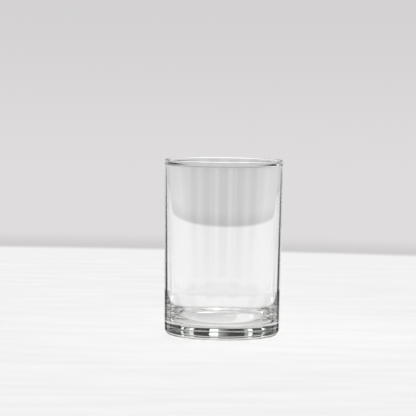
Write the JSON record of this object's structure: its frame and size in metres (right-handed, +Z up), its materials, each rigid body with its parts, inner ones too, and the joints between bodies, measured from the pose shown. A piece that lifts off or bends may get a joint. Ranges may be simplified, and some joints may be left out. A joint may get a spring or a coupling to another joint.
{
  "type": "rocks glass",
  "caption": "Straight-sided clear glass tumbler with a fire-polished lip, a wall that thickens downwards, a heavy flat base and a hollow underside; holds a cold drink.",
  "frame": {"origin": "centre of the foot, on the plane that the glass stands on", "axes": "+Z up along the axis of the glass, from foot to lip; X and Y are alike"},
  "size_m": [0.066, 0.066, 0.0976],
  "materials": {
    "soda_lime_glass": "clear, fire-polished"
  },
  "bodies": {
    "root": {"glass_body": "soda_lime_glass"}
  },
  "joints": []
}
